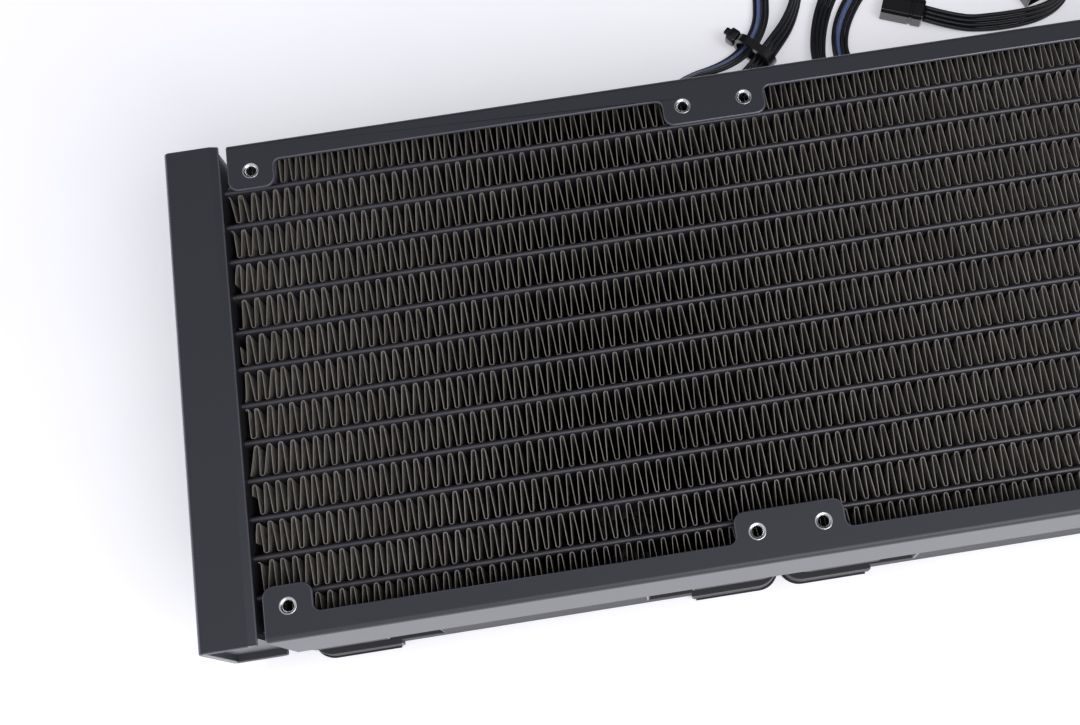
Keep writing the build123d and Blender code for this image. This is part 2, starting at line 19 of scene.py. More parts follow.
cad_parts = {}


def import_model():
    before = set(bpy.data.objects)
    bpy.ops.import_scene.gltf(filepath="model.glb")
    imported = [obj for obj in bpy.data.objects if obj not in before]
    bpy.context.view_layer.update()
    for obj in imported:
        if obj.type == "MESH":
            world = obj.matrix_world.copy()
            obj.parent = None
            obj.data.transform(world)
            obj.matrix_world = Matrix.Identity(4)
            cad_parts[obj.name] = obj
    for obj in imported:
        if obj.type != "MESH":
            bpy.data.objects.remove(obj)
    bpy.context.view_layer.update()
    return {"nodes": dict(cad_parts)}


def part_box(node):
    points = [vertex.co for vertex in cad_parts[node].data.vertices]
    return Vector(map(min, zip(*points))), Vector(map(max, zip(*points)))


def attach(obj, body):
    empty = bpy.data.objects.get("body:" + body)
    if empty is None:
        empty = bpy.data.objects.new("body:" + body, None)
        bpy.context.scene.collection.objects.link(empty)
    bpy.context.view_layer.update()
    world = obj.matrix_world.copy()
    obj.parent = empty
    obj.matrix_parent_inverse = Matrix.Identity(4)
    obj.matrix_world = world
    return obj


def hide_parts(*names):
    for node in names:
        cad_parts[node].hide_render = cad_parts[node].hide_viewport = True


log = logging.getLogger("radiator")

Pair = tuple[float, float]
Triple = tuple[float, float, float]

MM = 0.001
ROOT = "root"
LIGHT_SUFFIX = "light_lead"


class Finish(Enum):
    """Names of the finishes, one material each."""

    POWDER_COAT = "black_powder_coat"
    # Painted highlight: a pale lavender colour laid on rounded edges for the light they catch.
    COAT_EDGE_HIGHLIGHT = "powder_coat_painted_highlight"
    # Painted highlight: a paler grey laid on the fan frames' rounded edges.
    PLASTIC_EDGE_HIGHLIGHT = "fan_plastic_painted_highlight"
    FIN_FACE = "fin_face"
    FIN_EDGE = "fin_edge"
    TUBE = "coated_tube"
    CORE = "core_plate"
    BARE_METAL = "bare_tapped_metal"
    FAN_PLASTIC = "fan_plastic"
    ROTOR_PLASTIC = "rotor_plastic"
    RUBBER = "soft_rubber"
    STEEL = "ground_steel"
    BRONZE = "sintered_bronze"
    BOARD = "circuit_board"
    MAGNET = "bonded_magnet"
    SCREW = "black_screw"
    PORT = "turned_port"
    WIRE = "wire_jacket"
    WIRE_MARK = "marked_wire_jacket"
    NYLON = "nylon"
    TABLE = "pale_table"


# ---- shader nodes ---------------------------------------------------------------
PATCH_DETAIL = 6.0
PATCH_ROUGHNESS = 0.62
PATCH_SPREAD = (0.32, 0.68)  # the noise values that become the first and second colour
GRAIN_DETAIL = 3.0


def set_inputs(node: bpy.types.Node, values: dict[str, object]) -> None:
    """Set a node's sockets by their names."""
    for name, value in values.items():
        node.inputs[name].default_value = value


def math_node(
    tree: bpy.types.NodeTree,
    operation: str,
    first: bpy.types.NodeSocket | float,
    second: bpy.types.NodeSocket | float,
) -> bpy.types.NodeSocket:
    """Place a Math node.

    Args:
        tree: the tree that it goes in.
        operation: the node's operation.
        first: a socket to read, or a number.
        second: a socket to read, or a number.

    Returns:
        The node's output.
    """
    node = tree.nodes.new("ShaderNodeMath")
    node.operation = operation
    for socket, value in zip(node.inputs, (first, second)):
        if isinstance(value, bpy.types.NodeSocket):
            tree.links.new(value, socket)
        else:
            socket.default_value = value
    return node.outputs["Value"]


def map_range(
    tree: bpy.types.NodeTree,
    value: bpy.types.NodeSocket,
    source: Pair,
    target: Pair,
) -> bpy.types.NodeSocket:
    """Place a Map Range node.

    Args:
        tree: the tree that it goes in.
        value: the socket to read.
        source: the range read.
        target: the range given.

    Returns:
        The node's output.
    """
    node = tree.nodes.new("ShaderNodeMapRange")
    set_inputs(node, {"From Min": source[0], "From Max": source[1]})
    set_inputs(node, {"To Min": target[0], "To Max": target[1]})
    tree.links.new(value, node.inputs["Value"])
    return node.outputs["Result"]


def new_group(name: str, inputs: dict[str, str], outputs: dict[str, str]) -> bpy.types.NodeTree:
    """Make an empty node group.

    Args:
        name: the group's name.
        inputs: kind of each input socket, by its name.
        outputs: kind of each output socket, by its name.

    Returns:
        The group.
    """
    group = bpy.data.node_groups.new(name, "ShaderNodeTree")
    for in_out, sockets in (("INPUT", inputs), ("OUTPUT", outputs)):
        for socket, kind in sockets.items():
            group.interface.new_socket(socket, in_out=in_out, socket_type=f"NodeSocket{kind}")
    return group


def add_noise(
    tree: bpy.types.NodeTree, scale: bpy.types.NodeSocket, detail: float
) -> bpy.types.Node:
    """Place a Noise Texture on Object coordinates.

    Args:
        tree: the tree that it goes in.
        scale: the socket that sets its scale.
        detail: its detail.

    Returns:
        The texture node.
    """
    noise = tree.nodes.new("ShaderNodeTexNoise")
    noise.inputs["Detail"].default_value = detail
    place = tree.nodes.new("ShaderNodeTexCoord")
    tree.links.new(place.outputs["Object"], noise.inputs["Vector"])
    tree.links.new(scale, noise.inputs["Scale"])
    return noise


def soft_patches_group() -> bpy.types.NodeTree:
    """Node group that mixes two colours in soft patches and speckles.

    Returns:
        The group, with a Color and a Factor output, made once.
    """
    name = "soft_patches"
    if name in bpy.data.node_groups:
        return bpy.data.node_groups[name]
    group = new_group(
        name,
        {"First": "Color", "Second": "Color", "Scale": "Float"},
        {"Color": "Color", "Factor": "Float"},
    )
    start = group.nodes.new("NodeGroupInput")
    end = group.nodes.new("NodeGroupOutput")
    noise = add_noise(group, start.outputs["Scale"], PATCH_DETAIL)
    noise.inputs["Roughness"].default_value = PATCH_ROUGHNESS
    spread = map_range(group, noise.outputs["Fac"], PATCH_SPREAD, (0.0, 1.0))
    mix = group.nodes.new("ShaderNodeMix")
    mix.data_type = "RGBA"
    group.links.new(spread, mix.inputs["Factor"])
    group.links.new(start.outputs["First"], mix.inputs["A"])
    group.links.new(start.outputs["Second"], mix.inputs["B"])
    group.links.new(mix.outputs["Result"], end.inputs["Color"])
    group.links.new(spread, end.inputs["Factor"])
    return group


def fine_grain_group() -> bpy.types.NodeTree:
    """Node group that gives a fine raised grain, as a normal.

    Returns:
        The group, with a Normal output, made once.
    """
    name = "fine_grain"
    if name in bpy.data.node_groups:
        return bpy.data.node_groups[name]
    group = new_group(name, {"Scale": "Float", "Height": "Float"}, {"Normal": "Vector"})
    start = group.nodes.new("NodeGroupInput")
    end = group.nodes.new("NodeGroupOutput")
    noise = add_noise(group, start.outputs["Scale"], GRAIN_DETAIL)
    bump = group.nodes.new("ShaderNodeBump")
    group.links.new(noise.outputs["Fac"], bump.inputs["Height"])
    group.links.new(start.outputs["Height"], bump.inputs["Distance"])
    group.links.new(bump.outputs["Normal"], end.inputs["Normal"])
    return group


def use_group(
    tree: bpy.types.NodeTree, group: bpy.types.NodeTree, values: dict[str, object]
) -> bpy.types.Node:
    """Place a node group in a material's tree.

    Args:
        tree: the material's tree.
        group: the group.
        values: its inputs, by name.

    Returns:
        The group's node.
    """
    node = tree.nodes.new("ShaderNodeGroup")
    node.node_tree = group
    set_inputs(node, values)
    return node


def new_material(finish: Finish) -> tuple[bpy.types.Material, bpy.types.NodeTree, bpy.types.Node]:
    """Make a finish's material.

    Args:
        finish: the finish that it is named for.

    Returns:
        The material, its tree and its Principled BSDF.
    """
    material = bpy.data.materials.new(finish.value)
    material.use_nodes = True
    tree = material.node_tree
    return material, tree, tree.nodes["Principled BSDF"]


def add_patches(
    tree: bpy.types.NodeTree, shader: bpy.types.Node, colours: tuple[Triple, Triple], scale: float
) -> bpy.types.Node:
    """Colour a material in soft patches.

    Args:
        tree: the material's tree.
        shader: its Principled BSDF.
        colours: the two colours, linear.
        scale: patches in a metre.

    Returns:
        The group's node.
    """
    values = {"First": (*colours[0], 1), "Second": (*colours[1], 1), "Scale": scale}
    patches = use_group(tree, soft_patches_group(), values)
    tree.links.new(patches.outputs["Color"], shader.inputs["Base Color"])
    return patches


# ---- finishes -------------------------------------------------------------------
CLEAR_COAT_ROUGHNESS = 0.12
ROUGHNESS_SPREAD = 0.12  # how far the roughness strays from its mean, as a share of it
LOUVRE_SCALE = 290.0
LOUVRE_DISTORTION = 0.4
LOUVRE_HEIGHT = 0.25 * MM
LOUVRE_STRENGTH = 0.8


@dataclass(frozen=True)
class Coat:
    """A finish: colour, gloss and the size and depth of its grain.

    Attributes:
        colour: base colour, linear.
        vary: second colour, in soft patches.
        roughness: mean roughness.
        metallic: 1 for bare metal.
        grain: grain size in metres.
        bump: grain height in metres.
        ior: index of refraction, which sets how strongly the coat mirrors at a low angle.
        coat: weight of a clear coat.
        patch: size of the soft patches of colour, in metres.
    """

    colour: Triple
    vary: Triple
    roughness: float
    metallic: float = 0.0
    grain: float = 0.0004
    bump: float = 0.00001
    ior: float = 1.5
    coat: float = 0.0
    patch: float = 0.03

    def material(self, finish: Finish) -> bpy.types.Material:
        """Make the material of a plain coated or bare surface.

        Args:
            finish: the finish that it is named for.

        Returns:
            The material.
        """
        material, tree, shader = new_material(finish)
        set_inputs(shader, {"Metallic": self.metallic, "IOR": self.ior})
        set_inputs(shader, {"Coat Weight": self.coat, "Coat Roughness": CLEAR_COAT_ROUGHNESS})
        patches = add_patches(tree, shader, (self.colour, self.vary), 1 / self.patch)
        spread = (
            self.roughness * (1 - ROUGHNESS_SPREAD),
            self.roughness * (1 + ROUGHNESS_SPREAD),
        )
        rough = map_range(tree, patches.outputs["Factor"], (0.0, 1.0), spread)
        tree.links.new(rough, shader.inputs["Roughness"])
        grain = use_group(tree, fine_grain_group(), {"Scale": 1 / self.grain, "Height": self.bump})
        tree.links.new(grain.outputs["Normal"], shader.inputs["Normal"])
        return material


COATS = {
    Finish.POWDER_COAT: Coat(
        (0.0060, 0.0062, 0.0092), (0.0085, 0.0088, 0.0125), 0.30, ior=1.38, bump=0.000005, coat=0.4
    ),
    Finish.TUBE: Coat(
        (0.018, 0.018, 0.026), (0.028, 0.027, 0.036), 0.42, ior=1.6, grain=0.0006, patch=0.01
    ),
    Finish.CORE: Coat((0.012, 0.012, 0.015), (0.018, 0.018, 0.022), 0.5),
    Finish.BARE_METAL: Coat(
        (0.86, 0.86, 0.88), (0.70, 0.70, 0.74), 0.22, metallic=1.0, grain=0.0002, bump=0.000001
    ),
    Finish.FAN_PLASTIC: Coat((0.010, 0.010, 0.012), (0.014, 0.014, 0.016), 0.38, grain=0.0003),
    # Painted highlight on the coat's rounded edges: pale lavender, brighter than the coat.
    Finish.COAT_EDGE_HIGHLIGHT: Coat(
        (0.075, 0.075, 0.100), (0.120, 0.120, 0.155), 0.24, ior=1.6, bump=0.000005
    ),
    # Painted highlight on the fan frames' rounded edges.
    Finish.PLASTIC_EDGE_HIGHLIGHT: Coat((0.030, 0.030, 0.036), (0.055, 0.055, 0.065), 0.30, grain=0.0003),
    Finish.ROTOR_PLASTIC: Coat((0.012, 0.012, 0.014), (0.017, 0.017, 0.019), 0.4, grain=0.0006),
    Finish.RUBBER: Coat((0.008, 0.008, 0.009), (0.012, 0.012, 0.013), 0.65, grain=0.0005),
    Finish.STEEL: Coat(
        (0.55, 0.55, 0.57), (0.42, 0.42, 0.44), 0.25, metallic=1.0, bump=0.000001
    ),
    Finish.BRONZE: Coat(
        (0.42, 0.28, 0.13), (0.30, 0.20, 0.10), 0.45, metallic=1.0, bump=0.00002
    ),
    Finish.BOARD: Coat((0.01, 0.06, 0.03), (0.015, 0.09, 0.045), 0.35),
    Finish.MAGNET: Coat((0.035, 0.03, 0.028), (0.05, 0.045, 0.04), 0.6),
    Finish.SCREW: Coat((0.03, 0.03, 0.033), (0.05, 0.05, 0.055), 0.35, metallic=0.6),
    Finish.PORT: Coat(
        (0.60, 0.61, 0.63), (0.45, 0.46, 0.48), 0.28, metallic=1.0, bump=0.000001
    ),
    Finish.WIRE: Coat(
        (0.009, 0.010, 0.014), (0.014, 0.015, 0.020), 0.42, grain=0.0009, patch=0.006
    ),
    Finish.WIRE_MARK: Coat(
        (0.12, 0.17, 0.38), (0.17, 0.22, 0.46), 0.42, grain=0.0009, patch=0.006
    ),
    Finish.NYLON: Coat((0.006, 0.006, 0.007), (0.010, 0.010, 0.012), 0.3, coat=0.3),
}

# The first entry whose words are in a node's name gives its finish.
NODE_FINISHES = (
    ("front_rail", Finish.POWDER_COAT),
    ("rear_rail", Finish.POWDER_COAT),
    ("plain_tank", Finish.POWDER_COAT),
    ("port_tank", Finish.POWDER_COAT),
    ("tank_end_plates", Finish.POWDER_COAT),
    ("fill_plug_seal", Finish.RUBBER),
    ("fill_plug", Finish.SCREW),
    ("coolant_ports", Finish.PORT),
    ("flat_tubes", Finish.TUBE),
    ("header", Finish.CORE),
    ("divider", Finish.CORE),
    ("side_plates", Finish.CORE),
    ("grommets", Finish.RUBBER),
    ("corner_pads", Finish.RUBBER),
    ("_frame", Finish.FAN_PLASTIC),
    ("_rotor", Finish.ROTOR_PLASTIC),
    ("magnet_ring", Finish.MAGNET),
    ("shaft", Finish.STEEL),
    ("bearing_sleeve", Finish.BRONZE),
    ("circuit_board", Finish.BOARD),
    ("stator", Finish.STEEL),
    ("fan_screws", Finish.SCREW),
    ("lead_plug", Finish.NYLON),
    ("cable_tie", Finish.NYLON),
)


def coat_material(finish: Finish) -> bpy.types.Material:
    """Give the material of a finish in COATS, made once and then reused."""
    made = bpy.data.materials.get(finish.value)
    return made or COATS[finish].material(finish)


@dataclass(frozen=True)
class FinSheet:
    """A finish of the thinly coated fin sheet.

    Attributes:
        finish: the finish that it is named for.
        colours: its two colours, linear, in soft patches.
        scale: patches in a metre.
        metallic: how much bare metal shows through.
        roughness: its roughness.
        louvred: whether louvres cross it.
    """

    finish: Finish
    colours: tuple[Triple, Triple]
    scale: float
    metallic: float
    roughness: float
    louvred: bool

    def material(self) -> bpy.types.Material:
        """Make the material, with its louvres if it has them.

        Returns:
            The material.
        """
        material, tree, shader = new_material(self.finish)
        set_inputs(shader, {"Metallic": self.metallic, "Roughness": self.roughness})
        add_patches(tree, shader, self.colours, self.scale)
        if self.louvred:
            self.add_louvres(tree, shader)
        return material

    @staticmethod
    def add_louvres(tree: bpy.types.NodeTree, shader: bpy.types.Node) -> None:
        """Raise level bands across the sheet.

        Args:
            tree: the material's tree.
            shader: its Principled BSDF.
        """
        place = tree.nodes.new("ShaderNodeTexCoord")
        louvres = tree.nodes.new("ShaderNodeTexWave")
        louvres.bands_direction = "Z"
        set_inputs(louvres, {"Scale": LOUVRE_SCALE, "Distortion": LOUVRE_DISTORTION})
        bump = tree.nodes.new("ShaderNodeBump")
        set_inputs(bump, {"Distance": LOUVRE_HEIGHT, "Strength": LOUVRE_STRENGTH})
        tree.links.new(place.outputs["Object"], louvres.inputs["Vector"])
        tree.links.new(louvres.outputs["Fac"], bump.inputs["Height"])
        tree.links.new(bump.outputs["Normal"], shader.inputs["Normal"])


FIN_FACE = FinSheet(
    Finish.FIN_FACE, ((0.220, 0.205, 0.190), (0.380, 0.357, 0.332)), 420.0, 0.35, 0.48, louvred=True
)
FIN_EDGE = FinSheet(
    Finish.FIN_EDGE, ((0.22, 0.196, 0.174), (0.37, 0.338, 0.305)), 160.0, 0.2, 0.5, louvred=False
)


# ---- mesh building --------------------------------------------------------------
SAME_POINT = 0.0001 * MM  # points nearer than this are one point


def grid_faces(
    rows: int, columns: int, close_rows: bool = False, close_columns: bool = False
) -> np.ndarray:
    """Quads over a grid of vertices stored row by row.

    Args:
        rows: number of rows.
        columns: number of vertices in a row.
        close_rows: join the last row to the first.
        close_columns: join each row's last vertex to its first.

    Returns:
        An array of four vertex numbers per face.
    """
    row = np.arange(rows if close_rows else rows - 1)
    column = np.arange(columns if close_columns else columns - 1)
    r, c = np.meshgrid(row, column, indexing="ij")
    r2 = (r + 1) % rows
    c2 = (c + 1) % columns
    corners = [r * columns + c, r * columns + c2, r2 * columns + c2, r2 * columns + c]
    return np.stack(corners, axis=-1).reshape(-1, 4)


def make_piece(
    name: str,
    vertices: np.ndarray,
    faces: np.ndarray,
    materials: list[bpy.types.Material],
    face_materials: np.ndarray | None = None,
    smooth: bool = True,
) -> bpy.types.Object:
    """Turn arrays into a mesh object in the scene.

    Args:
        name: the object's name.
        vertices: one point per row.
        faces: vertex numbers of each quad.
        materials: the material slots.
        face_materials: the slot of each face, 0 if left out.
        smooth: whether the faces are shaded smooth.

    Returns:
        The object, linked to the scene.
    """
    mesh = bpy.data.meshes.new(name)
    mesh.from_pydata(vertices.tolist(), [], faces.tolist())
    for material in materials:
        mesh.materials.append(material)
    if face_materials is not None:
        mesh.polygons.foreach_set("material_index", face_materials.astype(np.int32))
    mesh.polygons.foreach_set("use_smooth", np.full(len(mesh.polygons), smooth))
    mesh.update()
    piece = bpy.data.objects.new(name, mesh)
    bpy.context.scene.collection.objects.link(piece)
    return piece


def close_up(piece: bpy.types.Object) -> None:
    """Merge points that coincide at a pole, cap open ends and turn every face outwards.

    Args:
        piece: the piece, whose mesh is changed.
    """
    mesh = bmesh.new()
    mesh.from_mesh(piece.data)
    bmesh.ops.remove_doubles(mesh, verts=mesh.verts, dist=SAME_POINT)
    bmesh.ops.holes_fill(mesh, edges=mesh.edges, sides=0)
    bmesh.ops.recalc_face_normals(mesh, faces=mesh.faces)
    mesh.to_mesh(piece.data)
    mesh.free()


def rounded_block(half: Triple, power: float, turns: int = 24, rings: int = 12) -> np.ndarray:
    """Points of a superellipsoid: powers of the sine and cosine of two angles, by half sizes.

    Args:
        half: half sizes along its three axes.
        power: 1 gives a ball, smaller gives a box with rounder or tighter edges.
        turns: points round it.
        rings: rows from pole to pole.

    Returns:
        Points by ring and turn.
    """
    tilts = np.linspace(-math.pi / 2, math.pi / 2, rings)
    angles = np.linspace(0, 2 * math.pi, turns, endpoint=False)
    tilt, turn = np.meshgrid(tilts, angles, indexing="ij")

    def bent(value: np.ndarray) -> np.ndarray:
        """Raise the size of a value to the power and keep its sign."""
        return np.sign(value) * np.abs(value) ** power

    x = half[0] * bent(np.cos(tilt)) * bent(np.cos(turn))
    y = half[1] * bent(np.cos(tilt)) * bent(np.sin(turn))
    return np.stack([x, y, half[2] * bent(np.sin(tilt))], axis=-1)


# ---- fins -----------------------------------------------------------------------
@dataclass
class FinCore:
    """The thirteen serpentine fin strips between the flat tubes.

    Attributes:
        low: lowest corner of the CAD strips.
        high: highest corner of the CAD strips.
        rows: number of strips.
        periods: number of waves along a strip.
        row_share: height of a strip as a share of the spacing of the tubes.
        end_reach: how far a strip runs on into each header.
        sheet: thickness of the sheet.
        crest_flat: how far a crest's outer face stands beyond the sheet's middle.
        crest_radius: radius of a bend.
        crest_points: points round a bend.
        leg_points: points within a leg.
        push: how far a wave is pushed along, as a share of its length.
        lean: how far a wave leans.
        end_lean: how many times more it leans at the ends.
        sag: how much a wave is shortened, as a share.
        end_sag: how much more it is shortened at the ends.
        end_waves: how many waves in from an end that reaches.
        crowd: how far the first waves are crowded, as a share of a wave.
        crowd_waves: how many waves in that reaches.
        seed: seed of the first strip's chance. Each next strip's is one more.
        materials: the sheet's face and its cut edge.
    """

    low: Vector
    high: Vector
    rows: int = 13
    periods: int = 138
    row_share: float = 7.65 / 8.95
    end_reach: float = 0.5 * MM
    sheet: float = 0.15 * MM
    crest_flat: float = 0.03 * MM
    crest_radius: float = 0.44 * MM
    crest_points: int = 9
    leg_points: int = 2
    push: float = 0.035
    lean: float = 0.07 * MM
    end_lean: float = 5
    sag: float = 0.025
    end_sag: float = 0.10
    end_waves: float = 1.6
    crowd: float = 0.9
    crowd_waves: float = 2.0
    seed: int = 40
    materials: list[bpy.types.Material] = field(default_factory=list)

    def one_period(self, pitch: float, height: float) -> np.ndarray:
        """Points of one wave: a round crest, a straight leg, a round trough and a leg back.

        The leg is the line that touches both circles, so it leans by the angle between the
        circles' centre line and the upright, less the arcsine of the diameter over their
        distance.

        Args:
            pitch: length of the wave.
            height: from trough to crest.

        Returns:
            One (x, y) point per row, about the strip's middle.
        """
        radius = self.crest_radius
        rise = height - 2 * radius
        lean = math.atan2(pitch / 2, rise) - math.asin(2 * radius / math.hypot(pitch / 2, rise))
        turn = np.linspace(math.pi - lean, lean, self.crest_points)
        crest = np.column_stack([radius * np.cos(turn), rise / 2 + radius * np.sin(turn)])
        trough = np.column_stack([pitch / 2 - crest[::-1, 0], -crest[::-1, 1]])
        inner = np.linspace(0, 1, self.leg_points + 2)[1:-1, None]
        down = crest[-1] + (trough[0] - crest[-1]) * inner
        next_crest = crest[0] + (pitch, 0)
        back = trough[-1] + (next_crest - trough[-1]) * inner
        return np.concatenate([crest, down, trough, back])

    def centre_line(self, row: int) -> np.ndarray:
        """Points along one strip, seen from above.

        The wave of one_period is repeated, then each period is pushed, leant and shortened a
        little, the first few are crowded and bent against the header, and what lies beyond
        the ends is cut off.

        Args:
            row: number of the strip, from the front rail.

        Returns:
            One (x, y) point per row.
        """
        chance = np.random.default_rng(self.seed + row)
        rows_pitch = (self.high.y - self.low.y) / (self.rows - 1 + self.row_share)
        height = rows_pitch * self.row_share - self.sheet
        middle = self.low.y + rows_pitch * self.row_share / 2 + row * rows_pitch
        start = self.low.x - self.end_reach
        length = self.high.x - self.low.x + 2 * self.end_reach
        pitch = length / self.periods
        wave = self.one_period(pitch, height)
        x = (wave[:, 0][None, :] + pitch * np.arange(self.periods)[:, None]).ravel()
        y = np.tile(wave[:, 1], self.periods)

        knots = pitch * np.arange(self.periods + 1)
        fade = self.end_waves * pitch
        near_end = np.exp(-knots / fade) + np.exp(-(knots[-1] - knots) / fade)
        push = pitch * chance.normal(0, self.push, len(knots))
        lean = self.lean * chance.normal(0, 1, len(knots)) * (1 + self.end_lean * near_end)
        sag = 1 - self.sag * chance.random(len(knots))
        sag -= self.end_sag * near_end * chance.random(len(knots))
        crowd = self.crowd * pitch * chance.random() * np.exp(-x / (self.crowd_waves * pitch))
        slide = -chance.uniform(0, pitch)

        moved = x + slide + np.interp(x, knots, push) - crowd
        moved += np.interp(x, knots, lean) * y / (height / 2)
        moved += start - slide * x / length
        before = np.flatnonzero(moved < start)
        after = np.flatnonzero(moved > start + length)
        kept = slice(before[-1] if before.size else 0, after[0] + 1 if after.size else None)
        x = np.clip(moved[kept], start, start + length)
        return np.column_stack([x, middle + y[kept] * np.interp(x - start, knots, sag)])

    def build_strip(self, row: int) -> bpy.types.Object:
        """Make one strip: its line moved half a sheet to each side and drawn from low to high.

        Args:
            row: number of the strip, from the front rail.

        Returns:
            The strip, riding on the radiator.
        """
        line = self.centre_line(row)
        # The tiny step keeps a length where two neighbours of a point coincide.
        along = np.gradient(line, axis=0) + (1e-9, 0.0)
        along /= np.linalg.norm(along, axis=1, keepdims=True)
        side = np.column_stack([-along[:, 1], along[:, 0]]) * self.sheet / 2
        left = line + side
        right = line - side
        lowest = np.min(line[:, 1]) - self.crest_flat
        highest = np.max(line[:, 1]) + self.crest_flat
        for edge in (left, right):
            edge[:, 1] = np.clip(edge[:, 1], lowest, highest)
        count = len(line)
        top, bottom = self.high.z, self.low.z
        corners = ((left, top), (right, top), (right, bottom), (left, bottom))
        layers = [np.column_stack([edge, np.full(count, z)]) for edge, z in corners]
        piece = make_piece(
            f"fin_strip_{row + 1}",
            np.stack(layers, axis=1).reshape(-1, 3),
            grid_faces(count, 4, close_columns=True),
            self.materials,
            np.tile([1, 0, 1, 0], count - 1),
            smooth=False,
        )
        close_up(piece)
        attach(piece, ROOT)
        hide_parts("fin_strips")
        return piece

    def build(self) -> list[bpy.types.Object]:
        """Make every strip."""
        self.materials = [FIN_FACE.material(), FIN_EDGE.material()]
        return [self.build_strip(row) for row in range(self.rows)]


# ---- rounded edges, with a painted highlight ------------------------------------
@dataclass(frozen=True)
class HighlitRoundedEdges:
    """How a sheet or moulded piece loses its sharp corners, with a highlight painted on the rounded
    edges.

    Attributes:
        width: how far the rounding reaches onto each face, in metres.
        finish: the piece's own finish.
        highlit_edges: the finish of the rounded edges, painted paler as their highlight.
        slot: a slot name; not used.
        corners: whether rounded corners take the painted highlight too.
        sharp_angle: an edge that turns by more than this is rounded.
        flat_normal: a face whose normal lies nearer to an axis than this is flat.
        merge: points nearer than this are one point.
        flat_angle: faces that turn by less than this are one face.
        segments: faces across a rounded edge.
    """

    width: float
    finish: Finish
    highlit_edges: Finish
    slot: str
    corners: bool = False
    sharp_angle: float = math.radians(38)
    flat_normal: float = 0.93
    merge: float = 2e-6
    flat_angle: float = math.radians(0.5)
    segments: int = 2

    def clean_copy(self, node: bpy.types.Object) -> bmesh.types.BMesh:
        """Copy a CAD node's loose triangles as joined flat faces.

        Args:
            node: the node's object.

        Returns:
            The copy. Its faces take the painted highlight where they are rounded corners.
        """
        mesh = bmesh.new()
        mesh.from_mesh(node.data)
        bmesh.ops.remove_doubles(mesh, verts=mesh.verts, dist=self.merge)
        bmesh.ops.dissolve_limit(
            mesh, angle_limit=self.flat_angle, verts=mesh.verts, edges=mesh.edges
        )
        bmesh.ops.connect_verts_concave(mesh, faces=mesh.faces)
        for face in mesh.faces:
            slant = max(abs(value) for value in face.normal)
            # Rounded corners take slot 1, the painted highlight.
            face.material_index = int(self.corners and slant < self.flat_normal)
            face.smooth = False
        return mesh

    def is_sharp(self, edge: bmesh.types.BMEdge) -> bool:
        """Tell whether an edge stands out and turns by more than the sharp angle."""
        stands_out = len(edge.link_faces) == 2 and edge.is_convex
        return stands_out and edge.calc_face_angle() > self.sharp_angle

    def build(self, name: str, node: bpy.types.Object) -> bpy.types.Object:
        """Stand a copy of a CAD node with rounded edges, painted with a highlight, in its place.

        Args:
            name: the node's name.
            node: the node's object.

        Returns:
            The copy.
        """
        mesh = self.clean_copy(node)
        # The bevels take slot 1, the painted highlight.
        bmesh.ops.bevel(
            mesh,
            geom=[edge for edge in mesh.edges if self.is_sharp(edge)],
            offset=self.width,
            offset_type="OFFSET",
            segments=self.segments,
            profile=0.5,
            affect="EDGES",
            clamp_overlap=False,
            material=1,
        )
        data = bpy.data.meshes.new(f"{name}_worn")
        mesh.to_mesh(data)
        mesh.free()
        data.materials.append(coat_material(self.finish))
        data.materials.append(coat_material(self.highlit_edges))
        piece = bpy.data.objects.new(f"{name}_worn", data)
        bpy.context.scene.collection.objects.link(piece)
        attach(piece, ROOT)
        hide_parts(name)
        return piece


# Each rounds sharp edges and paints them with a paler highlight colour.
SHEET_EDGES = HighlitRoundedEdges(0.32 * MM, Finish.POWDER_COAT, Finish.COAT_EDGE_HIGHLIGHT, "black_powder_coat")
TANK_EDGES = HighlitRoundedEdges(
    0.32 * MM, Finish.POWDER_COAT, Finish.COAT_EDGE_HIGHLIGHT, "black_powder_coat", corners=True
)
FRAME_EDGES = HighlitRoundedEdges(0.25 * MM, Finish.FAN_PLASTIC, Finish.PLASTIC_EDGE_HIGHLIGHT, "fan_plastic")
HIGHLIT_EDGE_NODES = {
    "front_rail": SHEET_EDGES,
    "rear_rail": SHEET_EDGES,
    "plain_tank": TANK_EDGES,
    "port_tank": TANK_EDGES,
    "fan_1_frame": FRAME_EDGES,
    "fan_2_frame": FRAME_EDGES,
    "fan_3_frame": FRAME_EDGES,
}


